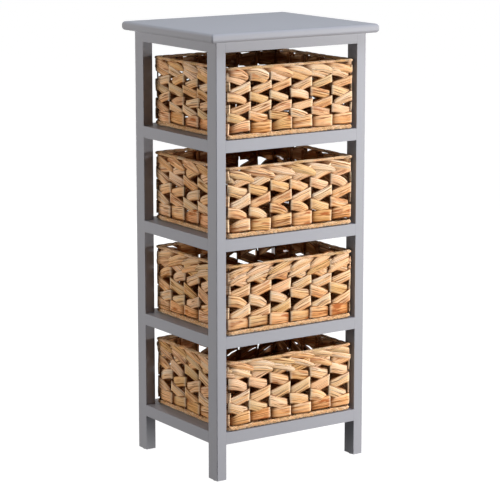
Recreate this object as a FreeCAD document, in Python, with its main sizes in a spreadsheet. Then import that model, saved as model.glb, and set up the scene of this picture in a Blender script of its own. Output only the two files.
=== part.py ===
# Four-tier open stand in painted wood with four pull-out woven baskets.
# Millimetres, +Z up, X across the width, the front faces -Y.
# The origin is on the floor under the middle of the stand.

import FreeCAD, Part
import os
import re

import Sketcher

V = FreeCAD.Vector

doc = FreeCAD.newDocument("basket_stand")

# Driving dimensions

SIZES = [
    ("total_height", 900, "floor to the top face of the board"),
    ("frame_width", 361, "over the legs, left to right"),
    ("frame_depth", 304, "over the legs, front to back"),
    ("top_thickness", 18, "top board"),
    ("top_side_overhang", 20.5, "board past the legs, left and right"),
    ("top_front_overhang", 18, "board past the legs, front and back"),
    ("top_corner", 3, "corner radius of the board seen from above"),
    ("top_edge_round", 6.5, "round-over of the board's edges"),
    ("round_limit_share", 0.45, "the most that a round-over takes of what it lies on"),
    ("leg_width", 22, "front face of a leg, and the left and right rails"),
    ("leg_depth", 32, "side face of a leg"),
    ("leg_corner_round", 1.6, "the leg's exposed corner"),
    ("edge_ease", 0.4, "every other long edge of the frame"),
    ("lowest_rail", 75, "floor to the underside of the lowest rails"),
    ("rail_height", 24, "rails of the four tiers"),
    ("top_rail_height", 21, "rails under the board"),
    ("rail_thickness", 22, "front and back rails"),
    ("slat_width", 44, "slats under the baskets"),
    ("slat_thickness", 12, "slats under the baskets"),
    ("dowel_diameter", 6, "wooden dowels"),
    ("dowel_fit", 0.1, "glue line round a dowel"),
    ("dowel_end_gap", 1, "glue space past each end of a dowel"),
    ("dowel_web", 4, "wood left beyond a dowel hole inside a leg"),
    ("dowel_place_share", 0.28, "a rail dowel's height, as a share of the rail's"),
    ("slat_dowel_share", 0.2, "an inner slat dowel's place, as a share of the slat's width"),
    ("screw_diameter", 3.5, "screws of the board"),
    ("screw_head_diameter", 7, "countersunk head"),
    ("screw_head_height", 2.2, "countersunk head"),
    ("screw_bite", 11, "screw inside the board"),
    ("screw_place_share", 0.3, "a screw's place along its rail, as a share of the rail's length"),
    ("drive_width", 0.8, "arms of the cross in a screw head"),
    ("drive_length", 3.6, "arms of the cross in a screw head"),
    ("drive_depth", 1.4, "cross in a screw head"),
    ("glide_diameter", 18, "foot glides"),
    ("glide_height", 2, "foot glides"),
    ("glide_nail_diameter", 2.5, "nail of a foot glide"),
    ("glide_nail_length", 14, "nail of a foot glide"),
    ("rim_side_gap", 4, "basket rim to the legs"),
    ("rim_setback", 1, "basket rim behind the frame's front plane"),
    ("rim_back_gap", 25, "basket rim to the frame's back plane"),
    ("hand_gap", 30, "basket rim to the rail above it"),
    ("seat_gap", 0.3, "basket above the slats that it slides on"),
    ("rim_proud", 2, "rim past the walls, outwards"),
    ("rim_inward", 1, "rim past the walls, inwards"),
    ("rim_height", 8, "wrapped rim"),
    ("rim_round", 2, "edges of the rim"),
    ("wall_thickness", 7, "woven wall"),
    ("base_edge_height", 9, "twisted bottom edge"),
    ("base_edge_thickness", 8, "twisted bottom edge"),
    ("inner_corner", 4, "corner radius inside the bottom edge"),
    ("floor_lift", 1, "woven floor above the underside of the basket"),
    ("floor_thickness", 6, "woven floor"),
    ("ring_wire", 4, "square wire of the two rings"),
    ("stake_diameter", 3, "round upright wires"),
]

# Counts

TIERS = 4
FRONT_COLUMNS = 6
SIDE_COLUMNS = 5

LEVELS = range(TIERS + 1)
TOP_LEVEL = TIERS

# What follows from the driving dimensions

DERIVED = {
    "board_underside": "total_height - top_thickness",
    "tier_pitch": f"(board_underside - top_rail_height - lowest_rail) / {TIERS}",
    "inner_width": "frame_width - 2 * leg_width",
    "inner_depth": "frame_depth - 2 * leg_depth",
    "leg_middle_x": "(frame_width - leg_width) / 2",
    "leg_middle_y": "(frame_depth - leg_depth) / 2",
    "rail_middle_y": "(frame_depth - rail_thickness) / 2",
    "slat_length": "frame_depth - 2 * rail_thickness",
    "slat_place": "(inner_width - slat_width) / 2",
    "crossing_depth": "leg_depth - rail_thickness / 2 - dowel_diameter / 2 - dowel_web",
    "hole_depth": "min(crossing_depth, leg_width - dowel_web)",
    "dowel_length": "2 * (hole_depth - dowel_end_gap)",
    "hole_diameter": "dowel_diameter + 2 * dowel_fit",
    "outer_slat_dowel": "inner_width / 2 - hole_depth - dowel_web - dowel_diameter / 2",
    "inner_slat_dowel": "inner_width / 2 - slat_width * (1 - slat_dowel_share)",
    "basket_height": "tier_pitch - rail_height - hand_gap - seat_gap",
    "rim_width": "inner_width - 2 * rim_side_gap",
    "rim_depth": "frame_depth - rim_setback - rim_back_gap",
    "wall_width": "rim_width - 2 * rim_proud",
    "wall_depth": "rim_depth - 2 * rim_proud",
    "basket_middle_y": "(rim_setback - rim_back_gap) / 2",
    "base_corner": "inner_corner + base_edge_thickness",
    "rim_thickness": "rim_proud + wall_thickness + rim_inward",
    "rim_inner_corner": "base_corner - wall_thickness - rim_inward",
    "rim_round_limit": "min(rim_height, rim_thickness, rim_inner_corner) * round_limit_share",
    "ring_width": "wall_width - wall_thickness + ring_wire",
    "ring_depth": "wall_depth - wall_thickness + ring_wire",
    "ring_corner": "base_corner - wall_thickness / 2 + ring_wire / 2",
    "stake_width": "wall_width - wall_thickness",
    "stake_depth": "wall_depth - wall_thickness",
    "corner_inset": "(base_corner - wall_thickness / 2) * (1 - cos(45deg))",
    "low_ring": "(base_edge_height - ring_wire) / 2",
    "high_ring": "basket_height - (rim_height + ring_wire) / 2",
    "stake_length": "high_ring - low_ring",
}

sheet = doc.addObject("Spreadsheet::Sheet", "sizes")
for row, (alias, value, note) in enumerate(SIZES, start=1):
    sheet.set(f"A{row}", alias)
    sheet.set(f"B{row}", str(value))
    sheet.set(f"C{row}", note)
    sheet.setAlias(f"B{row}", alias)
doc.recompute()

ALIASES = {alias for alias, value, note in SIZES}
WORD = re.compile(r"[a-z]\w*")


def expression(text):
    """Spell out a short formula: each derived name in full, each alias as a cell of the sheet."""
    def spelled(match):
        word = match.group(0)
        if word in DERIVED:
            return "(" + expression(DERIVED[word]) + ")"
        return "sizes." + word if word in ALIASES else word
    return WORD.sub(spelled, text)


def number(text):
    """The value that a formula has now, for the first sketch of a shape."""
    return float(sheet.evalExpression(expression(text)))


def bind(item, **formulas):
    for name, text in formulas.items():
        item.setExpression(name, expression(text))


def place(item, x, y, z, rotation=None):
    if rotation:
        item.Placement = FreeCAD.Placement(V(0, 0, 0), rotation)
    for axis, text in (("x", x), ("y", y), ("z", z)):
        item.setExpression(f".Placement.Base.{axis}", expression(text))


# Turns that lay a shape's own +Z along the row's +X or +Y

ALONG_X = FreeCAD.Rotation(V(0, 1, 0), 90)
ALONG_Y = FreeCAD.Rotation(V(1, 0, 0), -90)


# Shapes that several pieces share


def cylinder(name, diameter, length, x, y, z, rotation=None):
    rod = doc.addObject("Part::Cylinder", name)
    bind(rod, Radius=f"({diameter}) / 2", Height=length)
    place(rod, x, y, z, rotation)
    return rod


def fused(name, pieces):
    union = doc.addObject("Part::MultiFuse", name)
    union.Shapes = pieces
    return union


def group(name, pieces):
    bundle = doc.addObject("Part::Compound", name)
    bundle.Links = pieces
    return bundle


def cut(name, blank, tools):
    """The blank with every hole in the list taken out of it."""
    piece = doc.addObject("Part::Cut", name)
    piece.Base = blank
    piece.Tool = tools[0] if len(tools) == 1 else group(name + "_holes", tools)
    return piece


def sketch_in(body, name):
    """A sketch on the body's own XY plane."""
    sketch = body.newObject("Sketcher::SketchObject", name)
    plane = next(item for item in body.Origin.OriginFeatures if item.Role == "XY_Plane")
    sketch.AttachmentSupport = [(plane, "")]
    sketch.MapMode = "FlatFace"
    return sketch


def draw_rounded(sketch, prefix, width, depth, radius):
    """A rounded rectangle about the sketch's origin, its sizes bound to three formulas."""
    half_x = number(width) / 2
    half_y = number(depth) / 2
    curve = number(radius)
    near_x = half_x - curve
    near_y = half_y - curve
    corners = [(near_x, -near_y), (near_x, near_y), (-near_x, near_y), (-near_x, -near_y)]
    sides = [
        ((-near_x, -half_y), (near_x, -half_y)),
        ((half_x, -near_y), (half_x, near_y)),
        ((near_x, half_y), (-near_x, half_y)),
        ((-half_x, near_y), (-half_x, -near_y)),
    ]
    quarter = FreeCAD.Units.Quantity("90 deg").getValueAs("rad").Value
    lines = []
    arcs = []
    for turn, (start, end) in enumerate(sides):
        lines.append(sketch.addGeometry(Part.LineSegment(V(*start, 0), V(*end, 0))))
        circle = Part.Circle(V(*corners[turn], 0), V(0, 0, 1), curve)
        arc = Part.ArcOfCircle(circle, (turn - 1) * quarter, turn * quarter)
        arcs.append(sketch.addGeometry(arc))
    for turn in range(4):
        sketch.addConstraint(Sketcher.Constraint("Tangent", lines[turn], 2, arcs[turn], 1))
        sketch.addConstraint(Sketcher.Constraint("Tangent", arcs[turn], 2, lines[(turn + 1) % 4], 1))
    for turn in range(3):
        sketch.addConstraint(Sketcher.Constraint("Equal", arcs[turn], arcs[turn + 1]))
    for turn in (0, 2):
        sketch.addConstraint(Sketcher.Constraint("Horizontal", lines[turn]))
        sketch.addConstraint(Sketcher.Constraint("Vertical", lines[turn + 1]))
    sketch.addConstraint(Sketcher.Constraint("Symmetric", arcs[0], 3, arcs[2], 3, -1, 1))
    driven = [
        ("width", Sketcher.Constraint("DistanceX", lines[3], 1, lines[1], 1, 2 * half_x), width),
        ("depth", Sketcher.Constraint("DistanceY", lines[0], 1, lines[2], 1, 2 * half_y), depth),
        ("radius", Sketcher.Constraint("Radius", arcs[0], curve), radius),
    ]
    for word, constraint, text in driven:
        index = sketch.addConstraint(constraint)
        sketch.renameConstraint(index, prefix + "_" + word)
        sketch.setExpression(f".Constraints.{prefix}_{word}", expression(text))


def draw_rectangle(sketch, width, depth):
    """A sharp rectangle about the sketch's origin."""
    half_x = number(width) / 2
    half_y = number(depth) / 2
    corners = [V(-half_x, -half_y), V(half_x, -half_y), V(half_x, half_y), V(-half_x, half_y)]
    for turn in range(4):
        sketch.addGeometry(Part.LineSegment(corners[turn], corners[(turn + 1) % 4]))
    for turn in range(4):
        sketch.addConstraint(Sketcher.Constraint("Coincident", turn, 2, (turn + 1) % 4, 1))
    for turn in (0, 2):
        sketch.addConstraint(Sketcher.Constraint("Horizontal", turn))
        sketch.addConstraint(Sketcher.Constraint("Vertical", turn + 1))
    sketch.addConstraint(Sketcher.Constraint("Symmetric", 0, 1, 1, 2, -1, 1))
    driven = [
        ("width", Sketcher.Constraint("DistanceX", 0, 1, 0, 2, 2 * half_x), width),
        ("depth", Sketcher.Constraint("DistanceY", 1, 1, 1, 2, 2 * half_y), depth),
    ]
    for word, constraint, text in driven:
        index = sketch.addConstraint(constraint)
        sketch.renameConstraint(index, word)
        sketch.setExpression(f".Constraints.{word}", expression(text))


def padded(body, sketch, length):
    pad = body.newObject("PartDesign::Pad", body.Name + "_pad")
    pad.Profile = sketch
    bind(pad, Length=length)
    doc.recompute()
    return pad


def rounded_edges(body, base, edges, radius, name):
    fillet = body.newObject("PartDesign::Fillet", body.Name + name)
    fillet.Base = (base, edges)
    bind(fillet, Radius=radius)
    doc.recompute()
    return fillet


def edge_names(shape, wanted):
    return [f"Edge{index}" for index, edge in enumerate(shape.Edges, start=1) if wanted(edge)]


def runs_upwards(edge):
    start, end = edge.Vertexes[0].Point, edge.Vertexes[-1].Point
    return abs(end.z - start.z) > edge.Length / 2


def stick(name, width, depth, length):
    """A sawn stick that stands on the XY plane, with its four long edges eased."""
    body = doc.addObject("PartDesign::Body", name)
    sketch = sketch_in(body, name + "_section")
    draw_rectangle(sketch, width, depth)
    pad = padded(body, sketch, length)
    rounded_edges(body, pad, edge_names(pad.Shape, runs_upwards), "edge_ease", "_eased")
    return body


def band(name, width, depth, corner, thickness, height):
    """A closed band with the given outer outline, lying on the XY plane."""
    body = doc.addObject("PartDesign::Body", name)
    sketch = sketch_in(body, name + "_outline")
    draw_rounded(sketch, "outer", width, depth, corner)
    inner = [f"{size} - 2 * ({thickness})" for size in (width, depth)]
    draw_rounded(sketch, "inner", *inner, f"{corner} - ({thickness})")
    padded(body, sketch, height)
    return body


NODES = {}


def keep(name, item):
    """Name the finished piece for its file."""
    item.Label = name
    NODES[name] = item


# Where the rails lie


def rail_underside(level):
    return f"lowest_rail + {level} * tier_pitch"


def rail_size(level):
    return "top_rail_height" if level == TOP_LEVEL else "rail_height"


def rail_top(level):
    return f"{rail_underside(level)} + {rail_size(level)}"


ENDS = {"left": "-", "right": ""}
FACES = {"front": "-", "back": ""}

# Dowels of the rails: two in each end of each rail, half in the rail and half in the leg

rail_dowels = []
leg_holes = {(face, end): [] for face in FACES for end in ENDS}
rail_holes = {}

for level in LEVELS:
    heights = {
        "low": f"{rail_underside(level)} + {rail_size(level)} * dowel_place_share",
        "high": f"{rail_underside(level)} + {rail_size(level)} * (1 - dowel_place_share)",
    }
    for face, y_sign in FACES.items():
        for end, x_sign in ENDS.items():
            for row, height in heights.items():
                where = f"{face}_{end}_{level + 1}_{row}"
                across = (f"{x_sign}1 * inner_width / 2", f"{y_sign}1 * rail_middle_y")
                along = (f"{x_sign}1 * leg_middle_x", f"{y_sign}1 * inner_depth / 2")
                for run, turn, (x, y) in (("x", ALONG_X, across), ("y", ALONG_Y, along)):
                    starts = {}
                    for use, length in (("dowel", "dowel_length"), ("hole", "2 * hole_depth")):
                        starts[use] = (
                            f"{x} - ({length}) / 2" if run == "x" else x,
                            f"{y} - ({length}) / 2" if run == "y" else y,
                            height,
                        )
                    dowel = cylinder(f"rail_dowel_{run}_{where}", "dowel_diameter", "dowel_length",
                                     *starts["dowel"], turn)
                    hole = cylinder(f"rail_hole_{run}_{where}", "hole_diameter", "2 * hole_depth",
                                    *starts["hole"], turn)
                    rail_dowels.append(dowel)
                    leg_holes[face, end].append(hole)
                    side = face if run == "x" else end
                    rail_holes.setdefault((side, level), []).append(hole)

keep("rail_dowels", group("rail_dowels", rail_dowels))

# Dowels of the slats: two in each end, half in the slat and half in the rail.
# The outer one stays clear of the rail's own dowels.

slat_dowels = []
slat_holes = {}

for level in range(TIERS):
    for side, x_sign in ENDS.items():
        for face, y_sign in FACES.items():
            for name in ("outer", "inner"):
                where = f"{side}_{face}_{level + 1}_{name}"
                x = f"{x_sign}1 * {name}_slat_dowel"
                y = f"{y_sign}1 * slat_length / 2"
                z = f"{rail_top(level)} - slat_thickness / 2"
                dowel = cylinder(f"slat_dowel_{where}", "dowel_diameter", "dowel_length",
                                 x, f"{y} - dowel_length / 2", z, ALONG_Y)
                hole = cylinder(f"slat_hole_{where}", "hole_diameter", "2 * hole_depth",
                                x, f"{y} - hole_depth", z, ALONG_Y)
                slat_dowels.append(dowel)
                slat_holes.setdefault((side, level), []).append(hole)
                rail_holes[face, level].append(hole)

keep("slat_dowels", group("slat_dowels", slat_dowels))

# Screws of the top board: two up through each of the top rails, with countersunk cross heads

SCREW_SPOTS = []
for face, y_sign in FACES.items():
    for end, x_sign in ENDS.items():
        run_x = f"{x_sign}1 * inner_width * screw_place_share"
        run_y = f"{y_sign}1 * inner_depth * screw_place_share"
        SCREW_SPOTS.append((face, end, run_x, f"{y_sign}1 * rail_middle_y"))
        SCREW_SPOTS.append((end, face, f"{x_sign}1 * leg_middle_x", run_y))

top_screws = []

for rail, spot, x, y in SCREW_SPOTS:
    where = f"{rail}_{spot}"
    head_z = rail_underside(TOP_LEVEL)
    head = doc.addObject("Part::Cone", "screw_head_" + where)
    bind(head, Radius1="screw_head_diameter / 2", Radius2="screw_diameter / 2",
         Height="screw_head_height")
    place(head, x, y, head_z)
    shank = cylinder("screw_shank_" + where, "screw_diameter",
                     "top_rail_height - screw_head_height + screw_bite",
                     x, y, f"{head_z} + screw_head_height")
    solid = fused("screw_solid_" + where, [head, shank])
    arms = []
    for word, size_x, size_y in (("wide", "drive_length", "drive_width"),
                                 ("deep", "drive_width", "drive_length")):
        arm = doc.addObject("Part::Box", f"screw_{word}_arm_{where}")
        bind(arm, Length=size_x, Width=size_y, Height="drive_depth")
        place(arm, f"{x} - {size_x} / 2", f"{y} - {size_y} / 2", head_z)
        arms.append(arm)
    drive = fused("screw_drive_" + where, arms)
    top_screws.append(cut("screw_" + where, solid, [drive]))
    rail_holes[rail, TOP_LEVEL].append(solid)

keep("top_screws", group("top_screws", top_screws))

# Top board, rounded over all round above and below

top_body = doc.addObject("PartDesign::Body", "top_board_blank")
top_sketch = sketch_in(top_body, "top_board_outline")
draw_rounded(top_sketch, "top", "frame_width + 2 * top_side_overhang",
             "frame_depth + 2 * top_front_overhang", "top_corner")
top_pad = padded(top_body, top_sketch, "top_thickness")


def lies_flat(edge):
    return not runs_upwards(edge)


rounded_edges(top_body, top_pad, edge_names(top_pad.Shape, lies_flat),
              "min(top_edge_round, top_thickness * round_limit_share)", "_rounded")
place(top_body, "0", "0", "board_underside")
screw_solids = [item.Base for item in top_screws]
keep("top_board", cut("top_board", top_body, screw_solids))

# Foot glides: a plastic disc with a nail that is driven up into the leg

glides = {}

for face, y_sign in FACES.items():
    for end, x_sign in ENDS.items():
        x = f"{x_sign}1 * leg_middle_x"
        y = f"{y_sign}1 * leg_middle_y"
        disc = cylinder(f"glide_disc_{face}_{end}", "glide_diameter", "glide_height", x, y, "0")
        nail = cylinder(f"glide_nail_{face}_{end}", "glide_nail_diameter",
                        "glide_height + glide_nail_length", x, y, "0")
        glides[face, end] = fused(f"glide_{face}_{end}", [disc, nail])

keep("foot_glides", group("foot_glides", list(glides.values())))

# Legs: plain sticks, with the exposed corner rounded a little more than the others

for (face, end), holes in leg_holes.items():
    name = f"leg_{face}_{end}"
    x_sign = ENDS[end]
    y_sign = FACES[face]
    body = doc.addObject("PartDesign::Body", name + "_blank")
    sketch = sketch_in(body, name + "_section")
    draw_rectangle(sketch, "leg_width", "leg_depth")
    pad = padded(body, sketch, "board_underside - glide_height")

    def is_exposed(edge):
        middle = edge.CenterOfMass
        outward_x = middle.x < 0 if x_sign else middle.x > 0
        outward_y = middle.y < 0 if y_sign else middle.y > 0
        return outward_x and outward_y

    def is_exposed_corner(edge):
        return runs_upwards(edge) and is_exposed(edge)

    def is_other_corner(edge):
        return runs_upwards(edge) and not is_exposed(edge)

    eased = rounded_edges(body, pad, edge_names(pad.Shape, is_other_corner), "edge_ease", "_eased")
    corner = edge_names(eased.Shape, is_exposed_corner)
    rounded_edges(body, eased, corner, "leg_corner_round", "_rounded")
    place(body, f"{x_sign}1 * leg_middle_x", f"{y_sign}1 * leg_middle_y", "glide_height")
    keep(name, cut(name, body, holes + [glides[face, end]]))

# Rails: front and back rails run between the legs, left and right rails behind and before them

for level in LEVELS:
    height = rail_size(level)
    middle_z = f"{rail_underside(level)} + {height} / 2"
    for face, y_sign in FACES.items():
        name = f"rail_{face}_{level + 1}"
        body = stick(name + "_blank", height, "rail_thickness", "inner_width")
        place(body, "-inner_width / 2", f"{y_sign}1 * rail_middle_y", middle_z, ALONG_X)
        keep(name, cut(name, body, rail_holes[face, level]))
    for end, x_sign in ENDS.items():
        name = f"rail_{end}_{level + 1}"
        body = stick(name + "_blank", "leg_width", height, "inner_depth")
        place(body, f"{x_sign}1 * leg_middle_x", "-inner_depth / 2", middle_z, ALONG_Y)
        keep(name, cut(name, body, rail_holes[end, level]))

# Slats: one along each side rail, flush with its top, so that the two make one broad ledge

for level in range(TIERS):
    for side, x_sign in ENDS.items():
        name = f"slat_{side}_{level + 1}"
        body = stick(name + "_blank", "slat_width", "slat_thickness", "slat_length")
        place(body, f"{x_sign}1 * slat_place", "-slat_length / 2",
              f"{rail_top(level)} - slat_thickness / 2", ALONG_Y)
        keep(name, cut(name, body, slat_holes[side, level]))

# Baskets: strips woven round a wire frame, with a wrapped rim and a twisted bottom edge

for level in range(TIERS):
    basket = f"basket_{level + 1}"
    seat = f"{rail_top(level)} + seat_gap"

    # Wire frame: two square rings joined by round stakes, one at each column of the weave
    wires = []
    for word, height in (("low", "low_ring"), ("high", "high_ring")):
        ring = band(f"{basket}_{word}_ring", "ring_width", "ring_depth", "ring_corner", "ring_wire",
                    "ring_wire")
        place(ring, "0", "basket_middle_y", f"{seat} + {height}")
        wires.append(ring)
    stakes = []
    for face, y_sign in FACES.items():
        for column in range(1, FRONT_COLUMNS):
            x = f"stake_width * ({column} / {FRONT_COLUMNS} - 1 / 2)"
            stakes.append((f"{face}_{column}", x, f"{y_sign}1 * stake_depth / 2"))
    for end, x_sign in ENDS.items():
        for column in range(1, SIDE_COLUMNS):
            y = f"stake_depth * ({column} / {SIDE_COLUMNS} - 1 / 2)"
            stakes.append((f"{end}_{column}", f"{x_sign}1 * stake_width / 2", y))
        for face, y_sign in FACES.items():
            x = f"{x_sign}1 * (stake_width / 2 - corner_inset)"
            y = f"{y_sign}1 * (stake_depth / 2 - corner_inset)"
            stakes.append((f"{end}_{face}_corner", x, y))
    for word, x, y in stakes:
        wires.append(cylinder(f"{basket}_stake_{word}", "stake_diameter", "stake_length",
                              x, f"basket_middle_y + {y}", f"{seat} + low_ring + ring_wire / 2"))
    wire_frame = fused(basket + "_wire_frame", wires)
    keep(basket + "_wire_frame", wire_frame)

    # Walls: one woven band from the bottom edge to the rim
    walls = band(basket + "_walls_blank", "wall_width", "wall_depth", "base_corner",
                 "wall_thickness", "basket_height - base_edge_height - rim_height")
    place(walls, "0", "basket_middle_y", f"{seat} + base_edge_height")
    keep(basket + "_walls", cut(basket + "_walls", walls, [wire_frame]))

    # Rim: strips wrapped round the high ring
    rim = band(basket + "_rim_blank", "rim_width", "rim_depth", "(base_corner + rim_proud)",
               "rim_thickness", "rim_height")
    rounded_edges(rim, rim.Tip, edge_names(rim.Shape, lies_flat),
                  "min(rim_round, rim_round_limit)", "_rounded")
    place(rim, "0", "basket_middle_y", f"{seat} + basket_height - rim_height")
    keep(basket + "_rim", cut(basket + "_rim", rim, [wire_frame]))

    # Bottom edge: a twisted rope of strips round the low ring
    edge_band = band(basket + "_base_edge_blank", "wall_width", "wall_depth", "base_corner",
                     "base_edge_thickness", "base_edge_height")
    place(edge_band, "0", "basket_middle_y", seat)
    keep(basket + "_base_edge", cut(basket + "_base_edge", edge_band, [wire_frame]))

    # Floor: a woven panel held all round by the bottom edge
    floor = doc.addObject("PartDesign::Body", basket + "_floor")
    floor_sketch = sketch_in(floor, basket + "_floor_outline")
    draw_rounded(floor_sketch, "floor", "wall_width - 2 * base_edge_thickness",
                 "wall_depth - 2 * base_edge_thickness", "inner_corner")
    padded(floor, floor_sketch, "floor_thickness")
    place(floor, "0", "basket_middle_y", f"{seat} + floor_lift")
    keep(basket + "_floor", floor)

doc.recompute()

# Nothing is written unless every object is sound

for item in doc.Objects:
    if "Invalid" in item.State or "Error" in item.State:
        raise RuntimeError(f"{item.Name} is {item.State}")

for name, item in NODES.items():
    if item.Shape.isNull() or not item.Shape.isValid() or not item.Shape.Solids:
        raise RuntimeError(f"{name} has no sound solid")

os.makedirs("parts", exist_ok=True)
for name, item in NODES.items():
    item.Shape.exportStep(f"parts/{name}.step")
    box = item.Shape.BoundBox
    print(f"{name}: {len(item.Shape.Solids)} solids, X {box.XMin:.1f} to {box.XMax:.1f}, "
          f"Y {box.YMin:.1f} to {box.YMax:.1f}, Z {box.ZMin:.1f} to {box.ZMax:.1f}")
print(len(NODES), "nodes")
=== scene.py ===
import math

import bpy
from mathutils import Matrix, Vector


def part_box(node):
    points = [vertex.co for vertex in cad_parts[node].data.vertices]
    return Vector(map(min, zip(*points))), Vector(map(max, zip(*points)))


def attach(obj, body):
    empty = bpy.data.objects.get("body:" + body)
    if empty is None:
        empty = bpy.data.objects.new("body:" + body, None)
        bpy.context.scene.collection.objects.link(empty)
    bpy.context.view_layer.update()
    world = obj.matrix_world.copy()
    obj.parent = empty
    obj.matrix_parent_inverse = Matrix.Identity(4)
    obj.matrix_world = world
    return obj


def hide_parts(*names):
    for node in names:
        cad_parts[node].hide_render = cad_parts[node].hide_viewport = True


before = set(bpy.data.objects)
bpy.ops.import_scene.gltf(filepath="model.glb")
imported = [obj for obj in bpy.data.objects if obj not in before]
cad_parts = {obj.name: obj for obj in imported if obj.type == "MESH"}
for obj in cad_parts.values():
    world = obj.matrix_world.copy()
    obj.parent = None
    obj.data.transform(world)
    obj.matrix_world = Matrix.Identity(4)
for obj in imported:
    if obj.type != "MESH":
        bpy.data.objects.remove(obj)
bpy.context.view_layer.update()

bpy.context.scene.view_settings.view_transform = "Standard"

# The view. A long lens looks at the stand from the front left and a little above.
# The picture is square and the lens has no shift.

SENSOR_WIDTH_MM = 36.0
LENS_MM = 156.59
VIEW_AZIMUTH = math.radians(-33.915)
VIEW_ELEVATION = math.radians(11.243)
VIEW_DISTANCE = 4.4958
AIM = Vector((0.0006, 0.0, 0.42985))

lens = bpy.data.cameras.new("view")
lens.sensor_width = SENSOR_WIDTH_MM
lens.lens = LENS_MM
camera = bpy.data.objects.new("view", lens)
bpy.context.collection.objects.link(camera)
backward = Vector((
    math.sin(VIEW_AZIMUTH) * math.cos(VIEW_ELEVATION),
    -math.cos(VIEW_AZIMUTH) * math.cos(VIEW_ELEVATION),
    math.sin(VIEW_ELEVATION),
))
camera.location = AIM + backward * VIEW_DISTANCE
camera.rotation_mode = "QUATERNION"
camera.rotation_quaternion = (-backward).to_track_quat("-Z", "Y")
bpy.context.scene.camera = camera

# The floor: a plain white sheet that fades into a white background.
# What the camera sees of it is lifted to white, and the stand's shadow stays on it.

FLOOR_REACH = 14.0
FLOOR_DEPTH = -0.0002
FLOOR_SHARE = 0.16
FLOOR_LIFT = 0.998
ROOM_LIGHT = 0.010
WHITE = (1.0, 1.0, 1.0, 1.0)


class Value:
    """One output of a node. An operator on it adds the Math node that works the result out."""

    def __init__(self, tree, socket=None):
        self.tree = tree
        self.socket = socket

    def node(self, kind, settings, sockets, output=0):
        """Add a node: its settings first, then the values or links of its sockets."""
        made = self.tree.nodes.new(kind)
        for name, setting in settings.items():
            if name == "stops":
                band = made.color_ramp
                while len(band.elements) < len(setting):
                    band.elements.new(0.5)
                for stop, (place, colour) in zip(band.elements, setting):
                    stop.position = place
                    stop.color = (*colour, 1.0)
            else:
                setattr(made, name, setting)
        for key, given in sockets.items():
            if isinstance(given, Value):
                self.tree.links.new(given.socket, made.inputs[key])
            else:
                made.inputs[key].default_value = given
        return Value(self.tree, made.outputs[output] if made.outputs else None)

    def output(self, name):
        """Another output of the node that this value comes from."""
        return Value(self.tree, self.socket.node.outputs[name])

    def math(self, operation, *others):
        return self.node("ShaderNodeMath", {"operation": operation}, dict(enumerate((self, *others))))

    def __add__(self, other):
        return self.math("ADD", other)

    def __radd__(self, other):
        return self.math("ADD", other)

    def __sub__(self, other):
        return self.math("SUBTRACT", other)

    def __rsub__(self, other):
        return (self * -1.0) + other

    def __mul__(self, other):
        return self.math("MULTIPLY", other)

    def __rmul__(self, other):
        return self.math("MULTIPLY", other)

    def __truediv__(self, other):
        return self.math("DIVIDE", other)

    def above(self, low, high):
        """0 up to the low value, 1 from the high one, and a smooth rise between them."""
        return self.node("ShaderNodeMapRange", {"interpolation_type": "SMOOTHSTEP"},
                         {"Value": self, "From Min": low, "From Max": high})


def fresh_tree(owner):
    owner.use_nodes = True
    owner.node_tree.nodes.clear()
    return Value(owner.node_tree)


def seen_directly(start):
    """1 where the camera, a reflection or glass looks straight at the surface."""
    seen = start.node("ShaderNodeLightPath", {}, {}, "Is Camera Ray")
    mirrored = seen.output("Is Glossy Ray")
    through_glass = seen.output("Is Transmission Ray")
    return seen.math("MAXIMUM", mirrored).math("MAXIMUM", through_glass)


floor_paper = bpy.data.materials.new("floor_paper")
start = fresh_tree(floor_paper)
matt = start.node("ShaderNodeBsdfDiffuse", {}, {"Color": (FLOOR_SHARE, FLOOR_SHARE, FLOOR_SHARE, 1.0)})
glow = start.node("ShaderNodeEmission", {}, {"Strength": seen_directly(start) * FLOOR_LIFT})
paper = start.node("ShaderNodeAddShader", {}, {0: matt, 1: glow})
start.node("ShaderNodeOutputMaterial", {}, {"Surface": paper})

floor_mesh = bpy.data.meshes.new("floor")
floor_mesh.from_pydata(
    [(x * FLOOR_REACH, y * FLOOR_REACH, FLOOR_DEPTH) for x, y in ((-1, -1), (1, -1), (1, 1), (-1, 1))],
    [], [(0, 1, 2, 3)])
floor_mesh.materials.append(floor_paper)
floor = bpy.data.objects.new("floor", floor_mesh)
bpy.context.collection.objects.link(floor)

room = bpy.data.worlds.new("room")
bpy.context.scene.world = room
start = fresh_tree(room)
direct = seen_directly(start)
sky = start.node("ShaderNodeBackground", {}, {
    "Color": WHITE, "Strength": direct + (1 - direct) * ROOM_LIGHT})
start.node("ShaderNodeOutputWorld", {}, {"Surface": sky})

# The lamps: broad soft panels. The key stands at the front right, a cool one hangs above, a weak
# one stands at the left, a little behind the stand, and a weaker one low behind it lights the back.
# Each has its place, its breadth, its power and its colour. All of them face the stand.

LAMPS = (
    ("key", (2.45, -2.45, 0.46), 1.1, 175.0, (1.0, 0.985, 0.965)),
    ("top", (0.10, -0.80, 2.85), 1.2, 45.5, (0.84, 0.91, 1.0)),
    ("side", (-2.40, 1.20, 0.80), 1.2, 42.0, (1.0, 0.97, 0.93)),
    ("back", (0.60, 2.60, 0.42), 0.8, 22.0, (1.0, 1.0, 1.0)),
)
LAMP_AIM = Vector((0.0, 0.0, 0.50))

for name, spot, breadth, power, colour in LAMPS:
    lamp_data = bpy.data.lights.new(name, "AREA")
    lamp_data.energy = power
    lamp_data.size = breadth
    lamp_data.color = colour
    lamp = bpy.data.objects.new(name, lamp_data)
    lamp.location = spot
    lamp.rotation_mode = "QUATERNION"
    lamp.rotation_quaternion = (LAMP_AIM - Vector(spot)).to_track_quat("-Z", "Y")
    bpy.context.collection.objects.link(lamp)

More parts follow.
